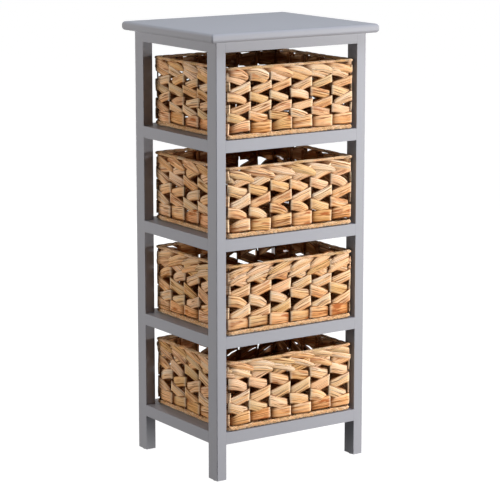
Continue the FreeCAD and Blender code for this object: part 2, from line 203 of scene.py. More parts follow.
# Legs: four sawn and eased sticks of wood under satin grey paint.
# Each stands on its glide and carries the rails in dowelled butt joints.

TIERS = 4
FACES = ("front", "back")
ENDS = ("left", "right")
PAINT_COLOUR = (0.347, 0.347, 0.376, 1.0)
PAINT_SHADE = (0.321, 0.321, 0.352, 1.0)
PAINT_ROUGHNESS = 0.50
PAINT_GLOSS = 0.18
ALONG_GRAIN = 0.06
GRAIN_SCALE = 420.0
CLOUD_SCALE = 7.0
PEEL_SCALE = 1100.0
GRAIN_SHEEN = 0.05
CLOUD_SHEEN = 0.08


def noise(start, place, scale, detail, **more):
    return start.node("ShaderNodeTexNoise", {}, {"Vector": place, "Scale": scale, "Detail": detail} | more)


def mix(start, share, one, other):
    """A colour between two others."""
    return start.node("ShaderNodeMix", {"data_type": "RGBA"}, {0: share, 6: one, 7: other}, 2)


def bumped(start, height, strength, depth):
    return start.node("ShaderNodeBump", {}, {"Height": height, "Strength": strength, "Distance": depth})


def surface(start, sockets):
    """The shader of a finish, from the values of its sockets."""
    body = start.node("ShaderNodeBsdfPrincipled", {}, sockets)
    start.node("ShaderNodeOutputMaterial", {}, {"Surface": body})


def painted_wood(name, along):
    """Sprayed satin paint, with the faintest trace of the wood's grain along one axis."""
    paint = bpy.data.materials.new(name)
    start = fresh_tree(paint)
    place = start.node("ShaderNodeTexCoord", {}, {}, "Object")
    squeeze = [1.0, 1.0, 1.0]
    squeeze[along] = ALONG_GRAIN
    drawn_out = start.node("ShaderNodeVectorMath", {"operation": "MULTIPLY"}, {0: place, 1: squeeze})
    grain = noise(start, drawn_out, GRAIN_SCALE, 3.0)
    cloud = noise(start, place, CLOUD_SCALE, 2.0)
    peel = noise(start, place, PEEL_SCALE, 1.0)
    middle_sheen = PAINT_ROUGHNESS - (GRAIN_SHEEN + CLOUD_SHEEN) / 2
    surface(start, {
        "Base Color": mix(start, cloud * 0.7 + grain * 0.3, PAINT_SHADE, PAINT_COLOUR),
        "Roughness": cloud * CLOUD_SHEEN + grain * GRAIN_SHEEN + middle_sheen,
        "Specular IOR Level": PAINT_GLOSS,
        "Normal": bumped(start, grain * 0.7 + peel * 0.3, 0.12, 0.0003)})
    return paint


def finish_node(node, material):
    """Give a carried-over piece its finish."""
    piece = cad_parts[node]
    piece.data.materials.clear()
    piece.data.materials.append(material)
    for slot in piece.material_slots:
        slot.material = material


upright_paint = painted_wood("painted_wood_upright", 2)
for face in FACES:
    for end in ENDS:
        finish_node(f"leg_{face}_{end}", upright_paint)

# Rails: a front, back, left and right rail at each of five levels, cut from the same stock.
# Their ends are dowelled and glued to the legs before the frame is painted.

paint_across = painted_wood("painted_wood_across", 0)
paint_deep = painted_wood("painted_wood_deep", 1)
for level in range(1, TIERS + 2):
    for face in FACES:
        finish_node(f"rail_{face}_{level}", paint_across)
    for end in ENDS:
        finish_node(f"rail_{end}_{level}", paint_deep)

# Slats: two flat strips of the same painted wood at each tier, from the front rail to the back one.
# A basket slides on them. They are dowelled and glued into the rails.

for tier in range(1, TIERS + 1):
    for end in ENDS:
        finish_node(f"slat_{end}_{tier}", paint_deep)

# Dowels: turned and fluted pins of bare hardwood at the ends of the rails and the slats.
# They are glued into holes in both pieces, so that the closed joints hide them.

BARE_PALE = (0.62, 0.43, 0.24, 1.0)
BARE_DARK = (0.45, 0.28, 0.14, 1.0)
BARE_GRAIN_SCALE = 260.0

bare_wood = bpy.data.materials.new("bare_wood")
start = fresh_tree(bare_wood)
place = start.node("ShaderNodeTexCoord", {}, {}, "Object")
grain = noise(start, place, BARE_GRAIN_SCALE, 3.0)
surface(start, {
    "Base Color": mix(start, grain, BARE_DARK, BARE_PALE), "Roughness": grain * 0.2 + 0.5,
    "Normal": bumped(start, grain, 0.2, 0.0002)})
finish_node("rail_dowels", bare_wood)
finish_node("slat_dowels", bare_wood)

# Screws: zinc-plated steel screws with countersunk heads.
# They come up through the top rails and bite in the underside of the board.

ZINC_PALE = (0.72, 0.70, 0.62, 1.0)
ZINC_YELLOW = (0.62, 0.56, 0.36, 1.0)
BLOOM_SCALE = 500.0

zinc = bpy.data.materials.new("zinc_plate")
start = fresh_tree(zinc)
place = start.node("ShaderNodeTexCoord", {}, {}, "Object")
bloom = noise(start, place, BLOOM_SCALE, 2.0)
surface(start, {
    "Base Color": mix(start, bloom, ZINC_PALE, ZINC_YELLOW), "Roughness": bloom * 0.2 + 0.25,
    "Metallic": 1.0})
finish_node("top_screws", zinc)

# Top board: one flat board with its edges rounded over above and below, in the same grey paint.
# It lies on the top rails, overhangs them all round and is screwed down from underneath.

finish_node("top_board", paint_across)

# Glides: discs of black moulded plastic under the legs.
# Each has a nail that is driven up into the end of its leg.

GLIDE_BLACK = (0.014, 0.014, 0.016, 1.0)
GLIDE_GREY = (0.030, 0.030, 0.032, 1.0)
PORE_SCALE = 1500.0

moulded = bpy.data.materials.new("moulded_plastic")
start = fresh_tree(moulded)
place = start.node("ShaderNodeTexCoord", {}, {}, "Object")
pores = noise(start, place, PORE_SCALE, 2.0)
surface(start, {
    "Base Color": mix(start, pores, GLIDE_BLACK, GLIDE_GREY), "Roughness": pores * 0.2 + 0.45,
    "Normal": bumped(start, pores, 0.2, 0.0001)})
finish_node("foot_glides", moulded)

# Wire frames of the baskets: two welded rings and upright stakes, dipped in brown paint.
# The strips hide them all but for the stakes that cross the open gaps.

WIRE_BROWN = (0.060, 0.026, 0.009, 1.0)
WIRE_RUST = (0.110, 0.048, 0.016, 1.0)
WIRE_GLOSS = 0.15
RUN_SCALE = 300.0

dipped_wire = bpy.data.materials.new("dipped_wire")
start = fresh_tree(dipped_wire)
place = start.node("ShaderNodeTexCoord", {}, {}, "Object")
runs = noise(start, place, RUN_SCALE, 2.0)
surface(start, {
    "Base Color": mix(start, runs, WIRE_BROWN, WIRE_RUST), "Roughness": runs * 0.2 + 0.45,
    "Specular IOR Level": WIRE_GLOSS, "Normal": bumped(start, runs, 0.3, 0.0002)})
for tier in range(1, TIERS + 1):
    finish_node(f"basket_{tier}_wire_frame", dipped_wire)

# Woven walls: flat dried stems of water hyacinth, folded round one stake after the other.
# One row leans one way and the next the other way, which leaves the three-cornered gaps.
# A plain row stands on the bottom edge, and broad leaves overlap under the rim.

WALL_THICKNESS = 0.007
FRONT_COLUMNS = 6
SIDE_COLUMNS = 5
CELL = 0.049
ROW = 0.0245
STRIP_THICKNESS = 0.0016
CORNER_STEPS = 6
PATH_STEP = 0.003
FRONT_WALL, RIGHT_WALL, BACK_WALL, LEFT_WALL = range(4)
ALL_WALLS = (FRONT_WALL, RIGHT_WALL, BACK_WALL, LEFT_WALL)
FAR_WALLS = (RIGHT_WALL, BACK_WALL)

# Each station of a strip: how far along the cell and how far outwards it lies, its lower and upper
# edge, its crown's height and its shade. Along and up are shares of the cell and of the row,
# outwards and crown are millimetres. A shade of 1 is painted shade with a little brown stain, where
# the strip dives behind a stake, and a shade of -1 is a painted highlight along its fold.

FOLD_STATIONS = (
    (0.120, -2.9, -0.46, 0.46, 0.3, 1.0),
    (0.000, -2.6, -0.49, 0.49, 0.2, 1.0),
    (-0.034, 0.2, -0.51, 0.51, 0.1, 0.0),
    (-0.026, 1.8, -0.52, 0.51, 0.1, -1.0),
    (0.004, 2.6, -0.53, 0.51, 0.2, -0.7),
)
ZIGZAG_STATIONS = FOLD_STATIONS + (
    (0.120, 3.0, -0.57, 0.43, 0.6, 0.0),
    (0.300, 2.9, -0.71, 0.30, 0.9, 0.0),
    (0.480, 2.2, -0.86, 0.17, 1.0, 0.0),
    (0.660, 1.3, -1.00, 0.04, 0.9, 0.0),
    (0.820, 0.3, -1.11, -0.08, 0.7, 0.15),
    (0.910, -0.6, -1.06, -0.17, 0.4, 0.45),
    (0.945, -3.0, -0.94, -0.30, 0.2, 1.0),
)
BLUNT_STATIONS = FOLD_STATIONS + (
    (0.120, 3.2, -0.57, 0.45, 0.8, 0.0),
    (0.300, 3.3, -0.67, 0.36, 1.2, 0.0),
    (0.480, 2.7, -0.80, 0.22, 1.3, 0.0),
    (0.660, 1.8, -0.94, 0.02, 1.1, 0.0),
    (0.800, 0.7, -1.02, -0.18, 0.8, 0.2),
    (0.875, -0.5, -0.97, -0.32, 0.4, 0.6),
    (0.905, -3.0, -0.86, -0.46, 0.2, 1.0),
)
BASE_STATIONS = FOLD_STATIONS + (
    (0.120, 3.0, -0.53, 0.55, 0.7, 0.0),
    (0.380, 3.1, -0.53, 0.52, 1.0, 0.0),
    (0.620, 2.6, -0.52, 0.48, 1.0, 0.1),
    (0.780, 1.7, -0.51, 0.44, 0.7, 0.35),
    (0.890, 0.6, -0.50, 0.40, 0.4, 0.7),
    (0.940, -1.8, -0.48, 0.36, 0.2, 1.0),
)
WEDGE_STATIONS = FOLD_STATIONS + (
    (0.120, 3.1, -0.53, 0.56, 0.8, 0.0),
    (0.380, 3.3, -0.54, 0.50, 1.1, 0.0),
    (0.600, 2.8, -0.54, 0.38, 1.0, 0.2),
    (0.760, 1.6, -0.53, 0.24, 0.7, 0.6),
    (0.880, 0.2, -0.51, 0.12, 0.4, 0.9),
    (0.930, -1.8, -0.48, 0.04, 0.2, 1.0),
)
LEAF_STATIONS = (
    (-0.320, -2.0, 0.24, 0.52, 0.3, 1.0),
    (-0.180, 0.0, 0.02, 0.70, 0.8, 0.7),
    (0.060, 1.7, -0.22, 0.74, 1.3, 0.15),
    (0.360, 2.8, -0.38, 0.64, 1.7, 0.0),
    (0.660, 3.5, -0.52, 0.46, 1.7, 0.0),
    (0.920, 3.8, -0.64, 0.22, 1.4, 0.0),
    (1.080, 3.7, -0.66, 0.00, 1.0, 0.0),
    (1.180, 2.7, -0.58, -0.24, 0.5, 0.4),
)
BROAD_LEAF_STATIONS = (
    (-0.260, -2.0, 0.10, 0.46, 0.3, 1.0),
    (-0.120, 0.2, -0.10, 0.66, 0.9, 0.6),
    (0.100, 1.9, -0.30, 0.76, 1.5, 0.1),
    (0.380, 3.1, -0.46, 0.70, 1.9, 0.0),
    (0.660, 3.8, -0.60, 0.52, 1.9, 0.0),
    (0.880, 4.0, -0.70, 0.26, 1.5, 0.0),
    (1.000, 3.6, -0.68, 0.02, 1.0, 0.0),
    (1.070, 2.4, -0.56, -0.22, 0.5, 0.4),
)

# The points of a strip at each station, from its lower to its upper edge: the share of its height
# and the share of its crown. One more point makes the inner face.

ACROSS = ((0.0, -1.2), (0.10, 0.6), (0.5, 1.0), (0.90, 0.6), (1.0, -1.2))
INNER_FACE = (0.5, 0.0)
AROUND = len(ACROSS) + 1


def strip(name, stations, fold_at_left):
    """A strip of dried stem: a closed pod with a crowned outer face and a flatter inner face."""
    middles = [Vector((station[0] * CELL, station[1] / 1000)) for station in stations]
    points = []
    grains = []
    gone = 0.0
    for index, (along, outward, low, high, crown, shade) in enumerate(stations):
        before = middles[max(index - 1, 0)]
        after = middles[min(index + 1, len(middles) - 1)]
        heading = (after - before).normalized()
        facing = Vector((-heading.y, heading.x))
        if index:
            gone += (middles[index] - before).length
        for share, crowning in (*ACROSS, INNER_FACE):
            is_inner = (share, crowning) == INNER_FACE
            spot = middles[index] + facing * (-STRIP_THICKNESS if is_inner else crown / 1000 * crowning)
            height = (low + (high - low) * share) * ROW
            across = spot.x if fold_at_left else CELL - spot.x
            points.append((across, spot.y, height))
            # The inner face gets a shade of 1: painted shade with a little brown, for the basket's dark
            # inside.
            grains.append((gone, share, 1.0 if is_inner else shade))
    faces = []
    for near in range(0, AROUND * (len(stations) - 1), AROUND):
        for edge in range(AROUND):
            there = (edge + 1) % AROUND
            faces.append((near + edge, near + AROUND + edge, near + AROUND + there, near + there))
    faces.append(tuple(range(AROUND)))
    faces.append(tuple(reversed(range(len(points) - AROUND, len(points)))))
    if not fold_at_left:
        faces = [tuple(reversed(face)) for face in faces]
    mesh = bpy.data.meshes.new(name)
    mesh.from_pydata(points, [], faces)
    grain = mesh.attributes.new("grain", "FLOAT_VECTOR", "POINT")
    for index, place in enumerate(grains):
        grain.data[index].vector = place
    return bpy.data.objects.new(name, mesh)


def bundle(name, usual, odd):
    """The strips that one kind of row picks from: usual left and right, then odd left and right."""
    held = bpy.data.collections.new(name)
    for number, (stations, fold_at_left) in enumerate(
            ((usual, True), (usual, False), (odd, True), (odd, False))):
        held.objects.link(strip(f"{name}_{number}", stations, fold_at_left))
    return held


zigzag_strips = bundle("zigzag_strip", ZIGZAG_STATIONS, BLUNT_STATIONS)
base_strips = bundle("base_strip", BASE_STATIONS, WEDGE_STATIONS)
leaf_strips = bundle("leaf_strip", LEAF_STATIONS, BROAD_LEAF_STATIONS)

# The corners of the line round a basket, from the middle of the front left one: the angles between
# which each turns, in degrees, and the sides of the basket that it lies at.

CORNERS = ((225, 270, -1, -1), (270, 360, 1, -1), (0, 90, 1, 1), (90, 180, -1, 1), (180, 225, -1, -1))


def wall_path(name, low, high, corner):
    """The line round the middle of a basket's wall, seen from outside from left to right."""
    path = bpy.data.curves.new(name, "CURVE")
    path.dimensions = "3D"
    places = []
    for first, last, x_side, y_side in CORNERS:
        centre_x = high.x - corner if x_side > 0 else low.x + corner
        centre_y = high.y - corner if y_side > 0 else low.y + corner
        steps = CORNER_STEPS if last - first == 90 else CORNER_STEPS // 2
        for step in range(steps + 1):
            angle = math.radians(first + (last - first) * step / steps)
            places.append((centre_x + corner * math.cos(angle), centre_y + corner * math.sin(angle)))
    line = path.splines.new("POLY")
    line.points.add(len(places) - 2)
    for point, (x, y) in zip(line.points, places):
        point.co = (x, y, 0.0, 1.0)
    line.use_cyclic_u = True
    return bpy.data.objects.new(name, path)


def stake_line(name, width, depth, corner, kept):
    """A point for each stake of the kept walls, along the unrolled wall, with the cell that follows it."""
    half_turn = corner * math.pi / 4
    places = []
    walls = []
    wall_start = 0.0
    for wall in ALL_WALLS:
        is_wide = wall in (FRONT_WALL, BACK_WALL)
        length, columns = (width, FRONT_COLUMNS) if is_wide else (depth, SIDE_COLUMNS)
        for column in range(columns):
            run = length * column / columns
            places.append(wall_start + (0.0 if column == 0 else half_turn + run - corner))
            walls.append(wall)
        wall_start += length - 2 * corner + 2 * half_turn
    cells = [after - place for place, after in zip(places, places[1:] + [wall_start])]
    stakes = [stake for stake in zip(places, cells, walls) if stake[2] in kept]
    mesh = bpy.data.meshes.new(name)
    mesh.from_pydata([(place, 0.0, 0.0) for place, cell, wall in stakes], [], [])
    breadths = mesh.attributes.new("cell", "FLOAT", "POINT")
    turned = mesh.attributes.new("turned", "FLOAT", "POINT")
    for index, (place, cell, wall) in enumerate(stakes):
        breadths.data[index].value = cell
        turned.data[index].value = 1.0 if wall == BACK_WALL else 0.0
    return mesh


def new_tree(name, inputs):
    """A Geometry Nodes tree with the given inputs. Gives the tree's start and its inputs by name."""
    tree = bpy.data.node_groups.new(name, "GeometryNodeTree")
    for label, kind in inputs:
        tree.interface.new_socket(name=label, in_out="INPUT", socket_type="NodeSocket" + kind)
    tree.interface.new_socket(name="Geometry", in_out="OUTPUT", socket_type="NodeSocketGeometry")
    start = Value(tree)
    entry = start.node("NodeGroupInput", {}, {})
    return start, {label: entry.output(label) for label, kind in inputs}


def combine(start, x, y, z):
    return start.node("ShaderNodeCombineXYZ", {}, {0: x, 1: y, 2: z})


def split(start, vector):
    x = start.node("ShaderNodeSeparateXYZ", {}, {0: vector}, "X")
    return [x, x.output("Y"), x.output("Z")]


def vectors(start, operation, first, second):
    return start.node("ShaderNodeVectorMath", {"operation": operation}, {0: first, 1: second})


def named(start, name, kind="FLOAT"):
    return start.node("GeometryNodeInputNamedAttribute", {"data_type": kind}, {"Name": name})


def store(start, geometry, name, value, kind="FLOAT"):
    return start.node("GeometryNodeStoreNamedAttribute", {"data_type": kind, "domain": "POINT"},
                      {"Geometry": geometry, "Name": name, "Value": value})


def chance(start, low, high, seed, key=None):
    """A random number for each element, or for each value of the key, the same at every run."""
    sockets = {2: low, 3: high, "Seed": seed}
    if key is not None:
        sockets["ID"] = key
    return start.node("FunctionNodeRandomValue", {"data_type": "FLOAT"}, sockets, 1)


def here(start):
    return start.node("GeometryNodeInputPosition", {}, {})


def walked(start, path):
    """The path as a line of even steps, and its length."""
    line = start.node("GeometryNodeObjectInfo", {"transform_space": "ORIGINAL"}, {"Object": path},
                      "Geometry")
    line = start.node("GeometryNodeResampleCurve", {"mode": "LENGTH"}, {"Curve": line, "Length": PATH_STEP})
    return line, start.node("GeometryNodeCurveLength", {}, {"Curve": line})


WANDER_SCALE = 38.0
MIDDLE_OF_NOISE = (0.5, 0.5, 0.5)


def bend_round(start, geometry, path, unevenness, seed_place):
    """Wrap what is laid out flat round the path: X along it, Y outwards and Z up."""
    line, whole = walked(start, path)
    along, outward, up = split(start, here(start))
    on_path = start.node("GeometryNodeSampleCurve", {"mode": "LENGTH", "use_all_curves": False},
                         {"Curves": line, "Length": along.math("FLOORED_MODULO", whole)}, "Position")
    ahead, aside = split(start, on_path.output("Tangent"))[:2]
    offset = combine(start, aside * outward, ahead * outward * -1.0, up)
    spot = vectors(start, "ADD", on_path, offset)
    wander = noise(start, vectors(start, "ADD", spot, seed_place), WANDER_SCALE, 1.0).output("Color")
    push = vectors(start, "MULTIPLY", vectors(start, "SUBTRACT", wander, MIDDLE_OF_NOISE), unevenness)
    spot = vectors(start, "ADD", spot, push)
    return start.node("GeometryNodeSetPosition", {}, {"Geometry": geometry, "Position": spot})


# The tree that lays strips on the stakes. A row's turn is 0 where its strips fold round the stake
# at their left and 1 where they fold at their right. Alternate 1 turns every second row.
# The seed with one of these numbers added gives each chance its own draws.

TONE, HEIGHT, SHIFT, LIFT, TILT, TALLNESS, ODD = range(7)
LIFT_REACH = 0.0003
SHORTEST = 0.88
TALLEST = 1.05
SHARP = math.radians(62)

start, given = new_tree("strips_on_stakes", (
    ("Geometry", "Geometry"), ("Path", "Object"), ("Strips", "Collection"), ("Material", "Material"),
    ("Rows", "Int"), ("First Height", "Float"), ("Row Height", "Float"), ("Fullness", "Float"),
    ("First Turn", "Float"), ("Back Turn", "Float"), ("Alternate", "Float"), ("Odd Share", "Float"),
    ("Stretch", "Float"), ("Lean", "Float"), ("Tilt", "Float"), ("Jitter", "Float"),
    ("Outward", "Float"), ("Unevenness", "Vector"), ("Seed Place", "Vector"), ("Seed", "Int"),
    ("Tone Low", "Float"), ("Tone High", "Float"),
))
seed = given["Seed"]
copies = start.node("GeometryNodeDuplicateElements", {"domain": "POINT"},
                    {"Geometry": given["Geometry"], "Amount": given["Rows"]})
stakes = store(start, copies, "row", copies.output("Duplicate Index"))
row = named(start, "row")
turn = row * given["Alternate"] + given["First Turn"] + named(start, "turned") * given["Back Turn"]
odd = chance(start, 0.0, 1.0, seed + ODD).math("LESS_THAN", given["Odd Share"])
sort = turn.math("FLOORED_MODULO", 2.0) + odd * 2.0
stakes = store(start, stakes, "tone", chance(start, given["Tone Low"], given["Tone High"], seed + TONE))
height = given["First Height"] + row * given["Row Height"]
height = height + chance(start, -1.0, 1.0, seed + HEIGHT) * given["Jitter"]
shift = chance(start, -1.0, 1.0, seed + SHIFT) * given["Jitter"]
lift = chance(start, -LIFT_REACH, LIFT_REACH, seed + LIFT) + given["Outward"]
stakes = start.node("GeometryNodeSetPosition", {}, {
    "Geometry": stakes, "Offset": combine(start, shift, lift, height)})
held = start.node("GeometryNodeCollectionInfo", {}, {
    "Collection": given["Strips"], "Separate Children": True, "Reset Children": True})
tilt = chance(start, -1.0, 1.0, seed + TILT) * given["Tilt"] + given["Lean"]
tallness = given["Row Height"] / ROW * given["Fullness"] * chance(start, SHORTEST, TALLEST, seed + TALLNESS)
strips = start.node("GeometryNodeInstanceOnPoints", {}, {
    "Points": stakes, "Instance": held, "Pick Instance": True, "Instance Index": sort,
    "Rotation": combine(start, 0.0, tilt, 0.0),
    "Scale": combine(start, named(start, "cell") / CELL * given["Stretch"], 1.0, tallness)})
solid = start.node("GeometryNodeRealizeInstances", {}, {"Geometry": strips})
solid = bend_round(start, solid, given["Path"], given["Unevenness"], given["Seed Place"])
solid = start.node("GeometryNodeSetShadeSmooth", {}, {"Geometry": solid})
bent = start.node("GeometryNodeInputMeshEdgeAngle", {}, {})
solid = start.node("GeometryNodeSetShadeSmooth", {"domain": "EDGE"}, {
    "Geometry": solid, "Selection": bent.math("GREATER_THAN", SHARP), "Shade Smooth": False})
solid = start.node("GeometryNodeSetMaterial", {}, {"Geometry": solid, "Material": given["Material"]})
start.node("NodeGroupOutput", {}, {"Geometry": solid})
strips_tree = start.tree


def grown(name, mesh, tree, values):
    """Run a tree on a mesh once and give the plain mesh that it makes."""
    seedling = bpy.data.objects.new(name, mesh)
    bpy.context.collection.objects.link(seedling)
    growth = seedling.modifiers.new("growth", "NODES")
    growth.node_group = tree
    for item in tree.interface.items_tree:
        if item.in_out == "INPUT" and item.name in values:
            growth[item.identifier] = values[item.name]
    bpy.context.view_layer.update()
    seen = seedling.evaluated_get(bpy.context.evaluated_depsgraph_get())
    made = bpy.data.meshes.new_from_object(seen)
    made.name = name
    seedling.modifiers.clear()
    bpy.data.objects.remove(seedling)
    return made


# The strips' finish. Each pattern has its pace: how fast it changes along a strip, across it and
# from strip to strip. A strip is a paler straw the higher its tone, some are olive and some pink,
# and creases and red stains are laid over it. Light is painted on too: a painted highlight towards
# its upper edge and along its folds, and painted shade along its edges, which are also a little
# darker of their own, and where it dives behind a stake and on its inner face, with a little stain.

STRAW_STOPS = (
    (0.00, (0.220, 0.060, 0.012)),
    (0.20, (0.590, 0.210, 0.058)),
    (0.42, (0.850, 0.400, 0.155)),
    (0.62, (0.900, 0.520, 0.256)),
    (0.82, (0.900, 0.610, 0.365)),
    (1.00, (0.890, 0.700, 0.510)),
)
STRAW_GLOSS = 0.0
# A dark brown for the stems' creases, and for the painted shade at edges, dived ends and inner faces.
DARK_STEM_AND_SHADE = (0.210, 0.058, 0.010, 1.0)
STEM_RED = (0.46, 0.140, 0.045, 1.0)
# The pale colour of the painted highlight along the folds.
FOLD_HIGHLIGHT_PALE = (0.970, 0.760, 0.520, 1.0)
STEM_OLIVE = (0.640, 0.400, 0.130, 1.0)
STEM_PINK = (0.900, 0.560, 0.370, 1.0)
FIBRE_PACE = (7.0, 9.0, 47.0)
CREASE_PACE = (8.0, 7.0, 83.0)
STAIN_PACE = (24.0, 2.2, 31.0)
TONE_WEIGHT = 0.42
FIBRE_WEIGHT = 1.5
STAIN_WEIGHT = 0.4
# How much paler the upper edge of a strip is: a painted highlight.
UPPER_EDGE_HIGHLIGHT = 0.24
RIPENESS = 0.32
HUE_PACE = 57.0
HUE_SHARE = 0.42
CREASE_WIDTH = 0.052
CREASE_DARKNESS = 0.95

hyacinth = bpy.data.materials.new("woven_hyacinth")
start = fresh_tree(hyacinth)
grain = start.node("ShaderNodeAttribute", {"attribute_name": "grain"}, {}, "Vector")
tone = start.node("ShaderNodeAttribute", {"attribute_name": "tone"}, {}, "Fac")
along, across, shade = split(start, grain)


def on_strip(pace, detail, **more):
    """Noise laid out by a strip's own length, breadth and tone."""
    place = combine(start, along * pace[0], across * pace[1], tone * pace[2])
    return noise(start, place, 1.0, detail, **more)


fibre = on_strip(FIBRE_PACE, 4.0, Roughness=0.7)
crease = on_strip(CREASE_PACE, 0.6)
stain = on_strip(STAIN_PACE, 3.0)
paleness_and_top_light = tone * TONE_WEIGHT + (fibre - 0.5) * FIBRE_WEIGHT + (stain - 0.5) * STAIN_WEIGHT
# Paler towards the upper edge of each strip: a painted highlight from the light above.
paleness_and_top_light = paleness_and_top_light + across * UPPER_EDGE_HIGHLIGHT + RIPENESS
straw = start.node("ShaderNodeValToRGB", {"stops": STRAW_STOPS}, {"Fac": paleness_and_top_light})
hue = (tone * HUE_PACE).math("FRACT")
straw = mix(start, hue.above(0.55, 1.0) * HUE_SHARE, straw, STEM_OLIVE)
straw = mix(start, (1 - hue).above(0.60, 1.0) * HUE_SHARE, straw, STEM_PINK)
groove = (1 - (crease - 0.5).math("ABSOLUTE").above(0.0, CREASE_WIDTH)) * CREASE_DARKNESS
straw = mix(start, groove, straw, DARK_STEM_AND_SHADE)
blush = stain.above(0.52, 0.68) * (1 - tone) * 1.2
straw = mix(start, blush, straw, STEM_RED)
# A painted highlight along the fold round the stake, where the shade is below 0.
fold_highlight = (shade * -1.0).above(0.0, 1.0) * 0.6
straw = mix(start, fold_highlight, straw, FOLD_HIGHLIGHT_PALE)
# Painted shade along both edges of a strip, where it meets the next one, over the edges' own slightly
# darker, rolled fibre.
edge = (across - 0.5).math("ABSOLUTE").above(0.40, 0.49) * 0.9
# Painted shade, with a little brown stain, where the shade is above 0: the ends that dive behind a stake
# and the inner faces.
tucked_shade_and_stain = shade.above(0.0, 1.0) * 0.85
straw = mix(start, edge.math("MAXIMUM", tucked_shade_and_stain), straw, DARK_STEM_AND_SHADE)
surface(start, {
    "Base Color": straw, "Roughness": 0.66 - fibre * 0.2, "Specular IOR Level": STRAW_GLOSS,
    "Normal": bumped(start, fibre * 0.7 + (1 - groove) * 0.5, 0.9, 0.0012)})

# Each basket's leaning rows: how many, how high the first one's middle is above the underside, the
# row height, the first one's turn and whether the back wall turns them over. Then height, row height
# and turn of the base row and of the leaves, and the leaves' rows, lean, length and fullness.

WEAVES = {
    1: {"rows": 4, "first": 0.0490, "row": 0.0243, "turn": 0.0, "back": 0.0,
        "base": (0.0235, 0.0235, 1.0), "leaf": (0.1202, 0.0126, 0.0),
        "leaf_rows": 2, "lean": 4.5, "length": 1.06, "fullness": 1.20},
    2: {"rows": 4, "first": 0.0475, "row": 0.0235, "turn": 1.0, "back": 0.0,
        "base": (0.0235, 0.0235, 0.0), "leaf": (0.1118, 0.0130, 1.0),
        "leaf_rows": 2, "lean": -6.0, "length": 0.98, "fullness": 1.22},
    3: {"rows": 4, "first": 0.0530, "row": 0.0225, "turn": 0.0, "back": 0.0,
        "base": (0.0250, 0.0265, 1.0), "leaf": (0.1250, 0.0170, 0.0),
        "leaf_rows": 1, "lean": 1.0, "length": 1.04, "fullness": 1.12},
    4: {"rows": 5, "first": 0.0455, "row": 0.0190, "turn": 0.0, "back": 1.0,
        "base": (0.0235, 0.0230, 1.0), "leaf": (0.1260, 0.0170, 0.0),
        "leaf_rows": 1, "lean": -2.0, "length": 0.88, "fullness": 1.10},
}
CORNER_RADIUS = 0.0015
COLLAR_ROW = 0.028
COLLAR_DROP = COLLAR_ROW * 0.55 - 0.0025
SECOND_LAYER = -0.0022
PALE_TONES = (0.40, 1.0)
# Dark tones for the far walls' second layer: painted shade, so that the gaps in front of it still look
# dark.
SHADED_TONES = (0.0, 0.5)
STAINED_TONES = (-0.25, 0.70)
WALL_UNEVENNESS = (0.0026, 0.0022, 0.0042)
SEEDS_PER_BASKET = 10
SEED_STRIDE = 1.7


def habit(strips, odd_share, jitter, tilt, tones, seed, outward=0.0):
    """What the rows of one kind have in common, as inputs of their tree."""
    return {"Strips": strips, "Odd Share": odd_share, "Jitter": jitter, "Tilt": math.radians(tilt),
            "Tone Low": tones[0], "Tone High": tones[1], "Seed": seed, "Outward": outward}


# The zigzag rows, the plain base row and the leaves go round all the walls. Behind them the far
# walls have a second layer, so that daylight comes through one row only: the lining is leaning
# rows, the patch is one more of them in the right wall, and the collar stands under the rim.

HABITS = {
    "zigzag": habit(zigzag_strips, 0.3, 0.0017, 4.5, PALE_TONES, 0),
    "base": habit(base_strips, 0.12, 0.0012, 3.0, STAINED_TONES, 100),
    "leaves": habit(leaf_strips, 0.4, 0.0020, 4.0, PALE_TONES, 200),
    "lining": habit(zigzag_strips, 0.0, 0.0015, 3.0, SHADED_TONES, 300, SECOND_LAYER),
    "patch": habit(zigzag_strips, 0.0, 0.0015, 3.0, SHADED_TONES, 500, SECOND_LAYER),
    "collar": habit(base_strips, 0.3, 0.0010, 3.0, SHADED_TONES, 400, SECOND_LAYER),
}


def woven_rows(kind, stakes, shared, rows, height, row_height, turn, others):
    """The mesh of the rows of one kind in one basket."""
    return grown(kind, stakes, strips_tree, shared | HABITS[kind] | {
        "Rows": rows, "First Height": height, "Row Height": row_height, "First Turn": turn,
        "Seed": shared["Seed"] + HABITS[kind]["Seed"]} | others)


def joined(name, meshes):
    """One piece from several meshes, with their attributes kept."""
    pieces = []
    for index, mesh in enumerate(meshes):
        piece = bpy.data.objects.new(f"{name}_{index}", mesh)
        bpy.context.collection.objects.link(piece)
        pieces.append(piece)
    with bpy.context.temp_override(active_object=pieces[0], selected_editable_objects=pieces):
        bpy.ops.object.join()
    pieces[0].name = name
    pieces[0].data.name = name
    return pieces[0]


